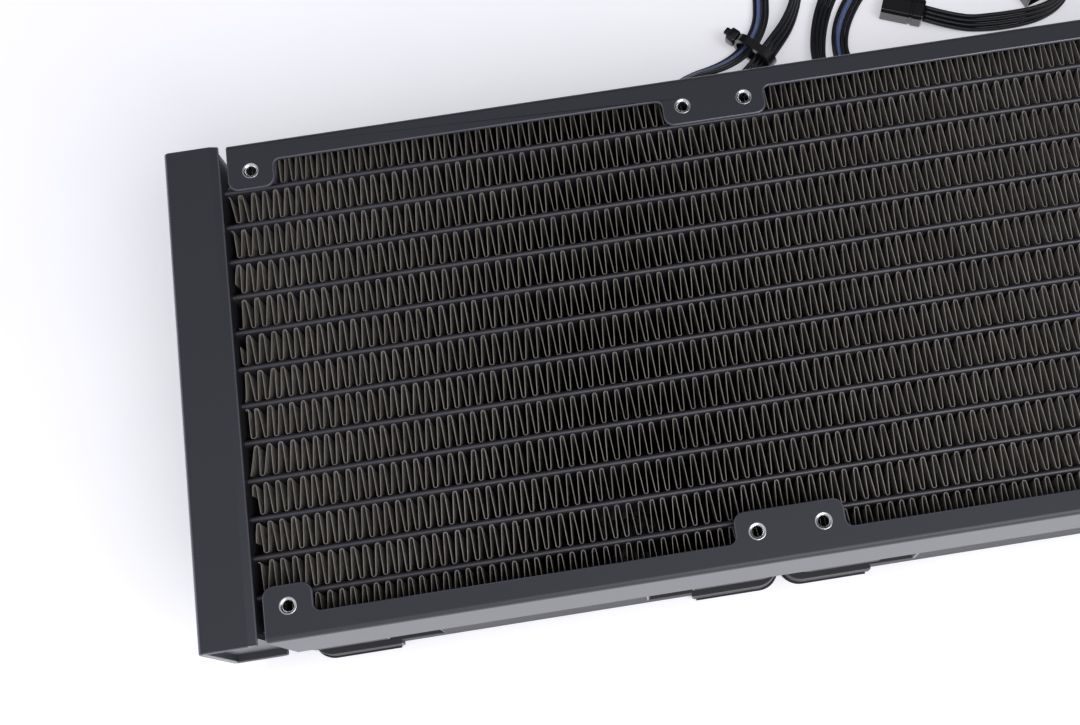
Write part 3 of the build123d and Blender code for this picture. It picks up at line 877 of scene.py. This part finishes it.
# ---- tapped holes ---------------------------------------------------------------
@dataclass(frozen=True)
class TappedRings:
    """Bright countersunk rings and threads in the holes of the top tabs.

    Attributes:
        top: height of the rails' upper face.
        bays: X of each fan's middle.
        hole_pitch: side of the square of holes over a fan.
        outer: radius of the bright ring.
        bore: radius of the thread's root.
        depth: where the thread starts, below the tab's face.
        lip: the raised rim, as (millimetres out from the outer radius, height).
        cone: the foot of the countersink, as (millimetres out from the bore, height).
        thread_pitch: rise of one turn.
        thread_depth: how far a crest stands in.
        thread_turns: number of turns.
        crest_share: where in a turn the crest lies.
        root_share: where in a turn the next root lies.
        sides: points round the ring.
    """

    top: float
    bays: list[float]
    hole_pitch: float = 105.0 * MM
    outer: float = 2.0 * MM
    bore: float = 1.22 * MM
    depth: float = 0.40 * MM
    lip: tuple[Pair, ...] = ((0.0, -0.02), (-0.04, 0.02), (-0.12, 0.03), (-0.42, -0.02))
    cone: Pair = (0.14, -0.20)
    thread_pitch: float = 0.5 * MM
    thread_depth: float = 0.12 * MM
    thread_turns: int = 4
    crest_share: float = 0.4
    root_share: float = 0.9
    sides: int = 48

    def profile(self) -> np.ndarray:
        """Work out the ring's section, from its rim down the thread.

        Returns:
            One (radius, height) point per row.
        """
        points = [(self.outer + out * MM, height * MM) for out, height in self.lip]
        points += [(self.bore + self.cone[0] * MM, self.cone[1] * MM), (self.bore, -self.depth)]
        for turn in range(self.thread_turns):
            z = -self.depth - turn * self.thread_pitch
            points.append((self.bore - self.thread_depth, z - self.crest_share * self.thread_pitch))
            points.append((self.bore, z - self.root_share * self.thread_pitch))
        return np.array(points)

    def build(self) -> list[bpy.types.Object]:
        """Carry the section round a circle in each hole.

        Returns:
            The rings.
        """
        metal = coat_material(Finish.BARE_METAL)
        shape = self.profile()
        angles = np.linspace(0, 2 * math.pi, self.sides, endpoint=False)
        radius = shape[:, :1]
        height = np.repeat(shape[:, 1:], self.sides, axis=1)
        ring = np.stack([radius * np.cos(angles), radius * np.sin(angles), height], axis=-1)
        faces = grid_faces(len(shape), self.sides, close_rows=True, close_columns=True)
        pieces = []
        for bay, sx, sy in itertools.product(self.bays, (-1, 1), (-1, 1)):
            half = self.hole_pitch / 2
            points = ring.reshape(-1, 3) + (bay + sx * half, sy * half, self.top)
            piece = make_piece(f"tapped_ring_{len(pieces) + 1}", points, faces, [metal])
            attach(piece, ROOT)
            pieces.append(piece)
        return pieces


# ---- plugs and tie --------------------------------------------------------------
@dataclass(frozen=True)
class LeadPlug:
    """A moulded plug: a ribbed outline carried along, with a waist and an open socket.

    Attributes:
        half_width: half of its width.
        half_height: half of its height over the rib.
        chamfer: width of its cut corners.
        rib_outer: from its side to the rib's outer edge.
        rib_inner: from its side to the rib's inner edge.
        rib_height: how far the rib stands up.
        rows: (millimetres along the plug, share of its outline). The last two make the socket.
    """

    half_width: float
    half_height: float = 2.6 * MM
    chamfer: float = 0.3 * MM
    rib_outer: float = 0.6 * MM
    rib_inner: float = 1.3 * MM
    rib_height: float = 0.8 * MM
    rows: tuple[Pair, ...] = (
        (0.0, 0.0), (0.0, 0.86), (0.4, 1.0), (3.0, 1.0), (3.2, 0.93), (3.8, 0.93), (4.0, 1.0),
        (11.7, 1.0), (12.0, 0.95), (12.0, 0.80), (9.4, 0.76), (9.4, 0.0),
    )

    def outline(self) -> np.ndarray:
        """Work out the outline, its right half mirrored to the left.

        Returns:
            One (across, up) point per row.
        """
        half, deep, chamfer = self.half_width, self.half_height, self.chamfer
        top = deep - self.rib_height
        rib_out = half - self.rib_outer
        rib_in = half - self.rib_inner
        right = [
            (half - chamfer, -deep),
            (half, chamfer - deep),
            (half, top - chamfer),
            (half - chamfer, top),
            (rib_out, top),
            (rib_out, deep),
            (rib_in, deep),
            (rib_in, top),
        ]
        return np.array(right + [(-x, z) for x, z in right[::-1]])

    def build(self, node: str, end: np.ndarray, along: np.ndarray) -> bpy.types.Object:
        """Carry the outline along the plug, by the share that each row gives.

        Args:
            node: the CAD node that it stands for.
            end: the point where the lead enters it.
            along: the lead's direction there.

        Returns:
            The plug.
        """
        outline = self.outline()
        across = np.array([-along[1], along[0], 0.0])
        upright = np.array([0.0, 0.0, 1.0])
        run = np.array([row[0] * MM for row in self.rows])
        share = np.array([row[1] for row in self.rows])
        section = outline[None, :, :] * share[:, None, None]
        points = end + run[:, None, None] * along
        points = points + section[..., :1] * across + section[..., 1:] * upright
        faces = grid_faces(len(self.rows), len(outline), close_columns=True)
        nylon = coat_material(Finish.NYLON)
        plug = make_piece(f"{node}_body", points.reshape(-1, 3), faces, [nylon], smooth=False)
        close_up(plug)
        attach(plug, ROOT)
        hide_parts(node)
        return plug


LIGHT_PLUG = LeadPlug(3.1 * MM)
MOTOR_PLUG = LeadPlug(3.3 * MM)


@dataclass(frozen=True)
class TieHead:
    """The cable tie's locking head and the cut end of its strap.

    Attributes:
        centre: middle of the bundle.
        side: direction from the bundle to the head.
        along: direction of the bundle.
        head_half: half sizes of the head.
        head_power: how square the head is.
        head_place: the head's middle, by side, along and up.
        tail_half: half sizes of the strap's end.
        tail_power: how square it is.
        tail_step: from the head's middle to that end's.
    """

    centre: Triple = (-53.8 * MM, 89.0 * MM, 4.0 * MM)
    side: Triple = (-0.70, 0.714, 0.0)
    along: Triple = (0.714, 0.70, 0.0)
    head_half: Triple = (1.5 * MM, 2.1 * MM, 1.9 * MM)
    head_power: float = 0.35
    head_place: Triple = (7.65 * MM, 0.0, 0.4 * MM)
    tail_half: Triple = (1.5 * MM, 1.1 * MM, 0.5 * MM)
    tail_power: float = 0.3
    tail_step: Triple = (1.2 * MM, 0.0, 1.1 * MM)

    def build(self) -> bpy.types.Object:
        """Make the head and the end of the strap as one piece.

        Returns:
            The piece, at the side of the bundle.
        """
        turn = np.array([self.side, self.along, (0.0, 0.0, 1.0)])
        head = rounded_block(self.head_half, self.head_power)
        tail = rounded_block(self.tail_half, self.tail_power)
        place = np.array(self.head_place)
        blocks = [head + place, tail + (place + self.tail_step)]
        points = np.concatenate([block.reshape(-1, 3) for block in blocks])
        rings, turns = head.shape[:2]
        quads = grid_faces(rings, turns, close_columns=True)
        faces = np.concatenate([quads, quads + rings * turns])
        nylon = coat_material(Finish.NYLON)
        piece = make_piece("tie_head", self.centre + points @ turn, faces, [nylon])
        close_up(piece)
        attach(piece, ROOT)
        return piece


# ---- fan leads ------------------------------------------------------------------
@dataclass(frozen=True)
class Lead:
    """A flat lead of four wires side by side.

    Attributes:
        name: the CAD node of its tube.
        route: control points in millimetres, as (x, y), or (x, y, z) where something lifts it.
        length: its real length; not used.
        rolls: how far it stands on edge, as (share of the length, degrees).
    """

    name: str
    route: tuple[tuple[float, ...], ...]
    length: float
    rolls: tuple[Pair, ...]

    @property
    def for_light(self) -> bool:
        """Tell whether it feeds a fan's lights rather than its motor."""
        return self.name.endswith(LIGHT_SUFFIX)


LEADS = (
    Lead(
        "fan_1_light_lead",
        (
            (-85.8, 62.0), (-85.8, 72.5), (-81.6, 80.3), (-74.1, 85.2), (-63.2, 86.2, 4.0),
            (-55.5, 90.6, 4.0), (-50.4, 97.9, 4.0), (-48.8, 106.7), (-47.6, 118.0), (-43.5, 128.5),
            (-35.5, 136.5), (-25.0, 141.0), (-4.0, 143.0), (24.0, 141.5), (50.0, 136.0), (71.0, 131.0),
            (92.0, 128.0),
        ),
        0.2286,
        ((0.0, 90), (0.1, 60), (0.22, 25), (0.3, 35), (0.36, 60), (0.45, 20), (0.7, 0), (1.0, 0)),
    ),
    Lead(
        "fan_1_motor_lead",
        (
            (-78.8, 62.0), (-78.8, 68.0), (-76.3, 73.4), (-71.7, 77.3), (-60.1, 80.4, 4.0),
            (-54.0, 84.7, 4.0), (-48.6, 90.4, 4.0), (-42.6, 97.2), (-38.6, 105.2), (-36.8, 114.0),
            (-33.0, 122.0), (-26.5, 128.6), (-17.5, 132.8), (-2.0, 135.3), (22.0, 134.0), (42.0, 129.5),
            (58.0, 126.5),
        ),
        0.1762,
        ((0.0, 90), (0.1, 40), (0.22, -20), (0.33, -55), (0.42, -70), (0.52, -30), (0.7, 0), (1.0, 0)),
    ),
    Lead(
        "fan_2_motor_lead",
        (
            (34.2, 62.0), (34.2, 67.2), (32.1, 71.8), (28.3, 75.1), (23.4, 76.5), (13.0, 75.0),
            (2.0, 70.8), (-8.5, 67.2), (-20.1, 65.9), (-30.5, 72.0), (-36.6, 82.4), (-34.5, 94.5),
            (-29.0, 106.0), (-20.5, 116.0), (-9.5, 124.0), (4.0, 128.0), (18.0, 127.0), (30.5, 120.5),
            (38.5, 110.0), (40.2, 101.5), (37.6, 93.6), (30.2, 88.8), (18.0, 88.3), (5.0, 90.2),
            (-4.0, 94.0),
        ),
        0.2546,
        (
            (0.0, 90), (0.08, 60), (0.2, 20), (0.3, -40), (0.42, -25), (0.6, 15), (0.74, 80),
            (0.86, 60), (0.94, 10), (1.0, 0),
        ),
    ),
    Lead(
        "fan_2_light_lead",
        (
            (41.2, 62.0), (41.2, 71.0), (37.2, 78.4), (29.8, 82.2), (18.5, 82.6), (5.5, 79.5),
            (-7.0, 74.8), (-17.0, 72.9), (-25.0, 76.6), (-29.6, 84.3), (-28.6, 93.0), (-23.5, 102.0),
            (-15.5, 110.3), (-5.5, 117.0), (5.5, 120.8), (14.5, 118.6), (21.5, 112.8), (24.5, 104.5),
        ),
        0.1710,
        ((0.0, 90), (0.1, 75), (0.3, 70), (0.46, 30), (0.55, -20), (0.7, 10), (0.9, 0), (1.0, 0)),
    ),
    Lead(
        "fan_3_motor_lead",
        (
            (154.2, 62.0), (154.2, 67.2), (152.1, 71.8), (148.3, 75.1), (143.4, 76.5), (133.0, 75.0),
            (112.0, 73.2), (94.0, 72.4), (77.9, 72.9), (67.5, 79.0), (61.4, 89.4), (61.4, 101.6),
            (67.5, 112.0), (77.9, 118.1), (92.0, 118.6), (112.0, 117.0), (136.0, 113.0),
        ),
        0.2033,
        ((0.0, 90), (0.1, 60), (0.3, 10), (0.6, -15), (0.8, 0), (1.0, 0)),
    ),
    Lead(
        "fan_3_light_lead",
        (
            (161.2, 62.0), (161.2, 71.5), (157.0, 79.0), (149.5, 83.0), (137.0, 83.2), (116.0, 80.8),
            (96.0, 79.4), (79.8, 79.7), (72.4, 83.9), (68.2, 91.3), (68.2, 99.7), (72.4, 107.1),
            (79.8, 111.3), (92.0, 111.8), (112.0, 110.0), (136.0, 106.0),
        ),
        0.1940,
        ((0.0, 90), (0.1, 70), (0.3, 0), (0.6, 20), (0.8, 0), (1.0, 0)),
    ),
)


@dataclass
class LeadBuilder:
    """Makes the flat leads along their smooth lines.

    Attributes:
        width: width of a lead.
        wires: number of wires side by side.
        exit_z: height at which a lead leaves its grommet and enters its plug.
        gap: how far the lead's lowest wire lies above the table.
        held: share of the length at each end over which it comes down to the table.
        sides: points round a wire.
        skin: radius of a wire as a share of half its spacing.
        resolution: points of the smooth line for each of the route's.
        marked_wire: the wire with the coloured jacket, in a lead for lights.
        tied: the lead that carries the cable tie.
        jackets: the plain and the marked jacket.
    """

    width: float = 5.2 * MM
    wires: int = 4
    exit_z: float = 2.7 * MM
    gap: float = 0.05 * MM
    held: float = 0.05
    sides: int = 10
    skin: float = 0.985
    resolution: int = 16
    marked_wire: int = 1
    tied: str = "fan_1_light_lead"
    jackets: list[bpy.types.Material] = field(default_factory=list)

    def __post_init__(self) -> None:
        """Make the jackets' materials."""
        self.jackets = [coat_material(Finish.WIRE), coat_material(Finish.WIRE_MARK)]

    @property
    def wire_radius(self) -> float:
        """Half the spacing of the wires."""
        return self.width / self.wires / 2

    def smooth_line(self, lead: Lead) -> np.ndarray:
        """Read the points of the lead's NURBS spline.

        Args:
            lead: the lead.

        Returns:
            Points in metres, close together.
        """
        data = bpy.data.curves.new(f"{lead.name}_line", "CURVE")
        data.dimensions = "3D"
        data.resolution_u = self.resolution
        spline = data.splines.new("NURBS")
        spline.points.add(len(lead.route) - 1)
        for point, place in zip(spline.points, lead.route):
            z = place[2] * MM if len(place) > 2 else self.exit_z
            point.co = (place[0] * MM, place[1] * MM, z, 1)
        spline.order_u = 3
        spline.use_endpoint_u = True
        holder = bpy.data.objects.new(f"{lead.name}_line", data)
        mesh = bpy.data.meshes.new_from_object(holder)
        points = np.zeros(len(mesh.vertices) * 3)
        mesh.vertices.foreach_get("co", points)
        bpy.data.objects.remove(holder)
        bpy.data.meshes.remove(mesh)
        return points.reshape(-1, 3)

    def settle(self, lead: Lead, line: np.ndarray) -> np.ndarray:
        """Lower the line onto the table between its two held ends.

        It lies as high as the lead's half width on edge, by the sine of its roll, and on
        top of that where something lifts it.

        Args:
            lead: the lead.
            line: its points, which are changed.

        Returns:
            The roll at each point, in radians.
        """
        steps = np.linalg.norm(np.diff(line, axis=0), axis=1)
        share = np.concatenate([[0], np.cumsum(steps)]) / steps.sum()
        places, degrees = zip(*lead.rolls)
        roll = np.radians(np.interp(share, places, degrees))
        reach = self.width / 2 - self.wire_radius
        rest = self.wire_radius + reach * np.abs(np.sin(roll)) + self.gap
        free = np.clip(np.minimum(share, 1 - share) / self.held, 0, 1)
        lift = line[:, 2] - self.exit_z
        line[:, 2] = self.exit_z + (rest - self.exit_z) * free + lift
        return roll

    @staticmethod
    def directions(line: np.ndarray, roll: np.ndarray) -> tuple[np.ndarray, np.ndarray]:
        """Work out which way the lead's width and thickness lie.

        The width is the level normal of the line, turned about the line by the roll.

        Args:
            line: the lead's points.
            roll: its roll at each, in radians.

        Returns:
            Unit vectors across the width and through the thickness, at each point.
        """
        along = np.gradient(line, axis=0)
        along /= np.linalg.norm(along, axis=1, keepdims=True)
        level = np.cross(along, [0, 0, 1])
        level /= np.linalg.norm(level, axis=1, keepdims=True)
        up = np.cross(level, along)
        wide = level * np.cos(roll)[:, None] + up * np.sin(roll)[:, None]
        return wide, np.cross(wide, along)

    def build_wires(self, lead: Lead, line: np.ndarray, roll: np.ndarray) -> bpy.types.Object:
        """Carry a circle along each wire's own line, beside the lead's middle.

        Args:
            lead: the lead.
            line: its points.
            roll: its roll at each, in radians.

        Returns:
            The wires, as one piece.
        """
        wide, thick = self.directions(line, roll)
        angles = np.linspace(0, 2 * math.pi, self.sides, endpoint=False)
        round_x = wide[:, None, :] * np.cos(angles)[None, :, None]
        round_y = thick[:, None, :] * np.sin(angles)[None, :, None]
        ring = self.skin * self.wire_radius * (round_x + round_y)
        quads = grid_faces(len(line), self.sides, close_columns=True)
        vertices, faces, slots = [], [], []
        for wire in range(self.wires):
            centre = line + wide * ((2 * wire + 1 - self.wires) * self.wire_radius)
            vertices.append((centre[:, None, :] + ring).reshape(-1, 3))
            faces.append(quads + wire * len(line) * self.sides)
            marked = lead.for_light and wire == self.marked_wire
            slots.append(np.full(len(quads), int(marked)))
        piece = make_piece(
            f"{lead.name}_wires",
            np.concatenate(vertices),
            np.concatenate(faces),
            self.jackets,
            np.concatenate(slots),
        )
        close_up(piece)
        return piece

    def build(self, lead: Lead) -> list[bpy.types.Object]:
        """Make one lead with its plug, and its tie's head if it carries the tie.

        Args:
            lead: the lead.

        Returns:
            The lead and the pieces made on it.
        """
        line = self.smooth_line(lead)
        roll = self.settle(lead, line)
        piece = self.build_wires(lead, line, roll)
        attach(piece, ROOT)
        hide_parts(lead.name)
        heading = line[-1] - line[-2]
        heading[2] = 0.0
        end = line[-1].copy()
        end[2] = self.exit_z
        plug = LIGHT_PLUG if lead.for_light else MOTOR_PLUG
        made = [plug.build(f"{lead.name}_plug", end, heading / np.linalg.norm(heading))]
        carried = list(made)
        if lead.name == self.tied:
            made.append(TieHead().build())
            carried += ["cable_tie", made[-1]]
        return [piece, *made]


# ---- stage ----------------------------------------------------------------------
@dataclass(frozen=True)
class CameraPlace:
    """The camera, by its direction, distance and roll about a target.

    Attributes:
        target: the point that it turns about.
        distance: how far it stands from there.
        azimuth: degrees round, from straight in front.
        elevation: degrees up.
        roll: degrees about its own axis.
        lens: focal length in millimetres.
        sensor: sensor width in millimetres.
        shift: shift of the frame, as shares of its width.
        clip_start: nearest distance seen.
    """

    target: Triple = (-0.09586, -0.01571, 0.0520)
    distance: float = 0.31914
    azimuth: float = 5.952
    elevation: float = 74.902
    roll: float = -3.082
    lens: float = 46.456
    sensor: float = 36.0
    shift: Pair = (-0.11362, 0.02008)
    clip_start: float = 0.01

    def build(self) -> None:
        """Place the camera and make it the scene's."""
        azimuth = math.radians(self.azimuth)
        elevation = math.radians(self.elevation)
        level_share = math.cos(elevation)
        ahead = Vector(
            (
                level_share * math.sin(azimuth),
                level_share * math.cos(azimuth),
                -math.sin(elevation),
            )
        )
        level = ahead.cross(Vector((0, 0, 1))).normalized()
        above = level.cross(ahead)
        roll = math.radians(self.roll)
        right = level * math.cos(roll) + above * math.sin(roll)
        up = above * math.cos(roll) - level * math.sin(roll)
        turn = Matrix((right, up, -ahead)).transposed()
        data = bpy.data.cameras.new("camera")
        data.lens = self.lens
        data.sensor_width = self.sensor
        data.shift_x, data.shift_y = self.shift
        data.sensor_fit = "HORIZONTAL"
        data.clip_start = self.clip_start
        camera = bpy.data.objects.new("camera", data)
        place = Vector(self.target) - ahead * self.distance
        camera.matrix_world = Matrix.Translation(place) @ turn.to_4x4()
        bpy.context.scene.collection.objects.link(camera)
        bpy.context.scene.camera = camera


@dataclass(frozen=True)
class Softbox:
    """A large square lamp aimed at a point.

    Attributes:
        name: the lamp's name.
        place: where it hangs.
        aim: the point that it faces.
        size: its side.
        power: its power in watts.
    """

    name: str = "front_light"
    place: Triple = (0.36, -0.74, 1.00)
    aim: Triple = (-0.08, -0.02, 0.0)
    size: float = 1.0
    power: float = 12.5

    def build(self) -> None:
        """Hang the lamp."""
        data = bpy.data.lights.new(self.name, "AREA")
        data.energy = self.power
        data.size = self.size
        lamp = bpy.data.objects.new(self.name, data)
        turn = (Vector(self.aim) - Vector(self.place)).to_track_quat("-Z", "Y")
        lamp.matrix_world = Matrix.Translation(self.place) @ turn.to_matrix().to_4x4()
        bpy.context.scene.collection.objects.link(lamp)


@dataclass(frozen=True)
class Room:
    """The room's soft light, brighter from one side, and its plain backdrop.

    Attributes:
        colour: colour of the light, linear.
        bright_side: direction of the bright side, about one long.
        spread: how far a direction points to that side where it gets dark and bright.
        brightness: brightness of the far side and of the bright side.
        seen: brightness of the backdrop to the camera.
    """

    colour: Triple = (0.93, 0.94, 1.0)
    bright_side: Triple = (-0.30, -0.80, 0.52)
    spread: Pair = (-0.15, 0.50)
    brightness: Pair = (0.03, 0.60)
    seen: float = 0.90

    def build(self) -> None:
        """Make the world."""
        world = bpy.data.worlds.new("room")
        world.use_nodes = True
        tree = world.node_tree
        background = tree.nodes["Background"]
        background.inputs["Color"].default_value = (*self.colour, 1)
        direction = tree.nodes.new("ShaderNodeTexCoord")
        side = tree.nodes.new("ShaderNodeVectorMath")
        side.operation = "DOT_PRODUCT"
        side.inputs[1].default_value = self.bright_side
        tree.links.new(direction.outputs["Generated"], side.inputs[0])
        bright = map_range(tree, side.outputs["Value"], self.spread, self.brightness)
        path = tree.nodes.new("ShaderNodeLightPath")
        backdrop = math_node(tree, "MULTIPLY", path.outputs["Is Camera Ray"], self.seen)
        strength = math_node(tree, "MAXIMUM", bright, backdrop)
        tree.links.new(strength, background.inputs["Strength"])
        bpy.context.scene.world = world


@dataclass(frozen=True)
class Table:
    """A pale polished table, plain white to the camera except under the part.

    Attributes:
        half: half of its side.
        depth: how far its face lies below the part.
        colours: its two colours, linear, in soft patches.
        patch_scale: patches in a metre.
        roughness: its roughness.
        glow: what is added where the camera or a mirror sees it.
        glow_colour: colour of that.
        mirror_share: how much more of the glow a mirror sees.
        part_half: half of the part's length and width, under which it doesn't glow.
        dark_inside: how far inside that outline the glow is gone.
        bright_outside: how far outside it the glow is whole.
    """

    half: float = 3.0
    depth: float = 0.1 * MM
    colours: tuple[Triple, Triple] = ((0.90, 0.89, 0.93), (0.83, 0.83, 0.88))
    patch_scale: float = 7.0
    roughness: float = 0.55
    glow: float = 0.40
    glow_colour: Triple = (0.96, 0.96, 1.0)
    mirror_share: float = 2.3
    part_half: Pair = (0.206, 0.060)
    dark_inside: float = 0.012
    bright_outside: float = 0.004

    def open_table(self, tree: bpy.types.NodeTree) -> bpy.types.NodeSocket:
        """Mask the part's own ground: the larger of how far X and Y lie beyond its outline.

        Args:
            tree: the material's tree.

        Returns:
            A mask, 0 under the part and 1 beside it.
        """
        place = tree.nodes.new("ShaderNodeTexCoord")
        size = tree.nodes.new("ShaderNodeVectorMath")
        size.operation = "ABSOLUTE"
        parts = tree.nodes.new("ShaderNodeSeparateXYZ")
        tree.links.new(place.outputs["Object"], size.inputs[0])
        tree.links.new(size.outputs["Vector"], parts.inputs["Vector"])
        beyond = []
        for axis, half in zip("XY", self.part_half):
            edge = (half - self.dark_inside, half + self.bright_outside)
            beyond.append(map_range(tree, parts.outputs[axis], edge, (0.0, 1.0)))
        return math_node(tree, "MAXIMUM", *beyond)

    def material(self) -> bpy.types.Material:
        """Make the table's material.

        Returns:
            The material, which glows to the camera and to mirrors beside the part.
        """
        material, tree, shader = new_material(Finish.TABLE)
        shader.inputs["Roughness"].default_value = self.roughness
        shader.inputs["Emission Color"].default_value = (*self.glow_colour, 1)
        add_patches(tree, shader, self.colours, self.patch_scale)
        path = tree.nodes.new("ShaderNodeLightPath")
        glossy = path.outputs["Is Glossy Ray"]
        mirrored = math_node(tree, "MULTIPLY", glossy, self.mirror_share)
        seen = math_node(tree, "MAXIMUM", path.outputs["Is Camera Ray"], mirrored)
        lit = math_node(tree, "MULTIPLY", seen, self.open_table(tree))
        glow = math_node(tree, "MULTIPLY", lit, self.glow)
        tree.links.new(glow, shader.inputs["Emission Strength"])
        return material

    def build(self) -> None:
        """Lay the table under the part."""
        turns = np.array([(-1, -1), (1, -1), (1, 1), (-1, 1)]) * self.half
        corners = np.column_stack([turns, np.full(len(turns), -self.depth)])
        table = make_piece("table", corners, np.array([[0, 1, 2, 3]]), [self.material()])


def finish_nodes(nodes: dict[str, bpy.types.Object]) -> None:
    """Give every CAD node its finish.

    Args:
        nodes: the frame's objects by node name.
    """
    for name, node in nodes.items():
        for part, finish in NODE_FINISHES:
            if part in name:
                node.data.materials.clear()
                node.data.materials.append(coat_material(finish))
                break
        else:
            log.info("%s keeps the frame's plain material", name)


def main() -> None:
    """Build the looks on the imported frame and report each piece."""
    logging.basicConfig(level=logging.INFO, format="%(name)s: %(message)s")
    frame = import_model()
    nodes = frame["nodes"]
    bpy.context.scene.view_settings.view_transform = "Standard"
    CameraPlace().build()
    Softbox().build()
    Room().build()
    Table().build()
    finish_nodes(nodes)

    pieces = [edges.build(name, nodes[name]) for name, edges in HIGHLIT_EDGE_NODES.items()]
    low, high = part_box("fin_strips")
    pieces += FinCore(Vector(low), Vector(high)).build()
    bays = [sum(corner[0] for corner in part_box(f"fan_{i}_frame")) / 2 for i in (1, 2, 3)]
    pieces += TappedRings(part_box("front_rail")[1][2], bays).build()
    builder = LeadBuilder()
    for lead in LEADS:
        pieces += builder.build(lead)
    for piece in pieces:
        log.info("%s has %d faces", piece.name, len(piece.data.polygons))


if __name__ == "__main__":
    main()
